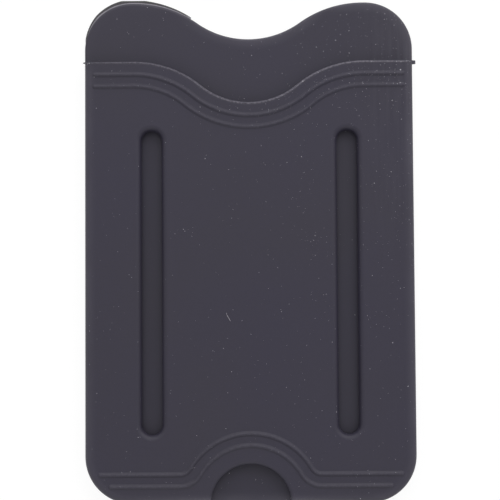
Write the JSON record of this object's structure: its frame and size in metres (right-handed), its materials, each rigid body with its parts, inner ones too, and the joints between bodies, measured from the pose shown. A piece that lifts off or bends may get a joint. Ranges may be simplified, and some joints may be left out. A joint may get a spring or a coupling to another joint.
{
  "type": "stick-on phone card holder",
  "caption": "Moulded silicone pocket for a bank card, with an adhesive back, a wavy mouth with raised beads, long slots and a round push-out notch.",
  "frame": {"origin": "middle of the release liner's back face, the face that the holder lies on", "axes": "+Y from the bottom edge towards the pocket's mouth, +Z out of the front panel, +X to the right seen from the front"},
  "size_m": [0.0585, 0.0887, 0.0038],
  "materials": {
    "silicone": "matt moulded silicone, dark charcoal with a slight violet cast",
    "adhesive": "dark acrylic foam tape",
    "liner_film": "satin grey release film"
  },
  "bodies": {
    "root": {"holder_body": "silicone", "adhesive_pad": "adhesive", "release_liner": "liner_film"}
  },
  "joints": []
}
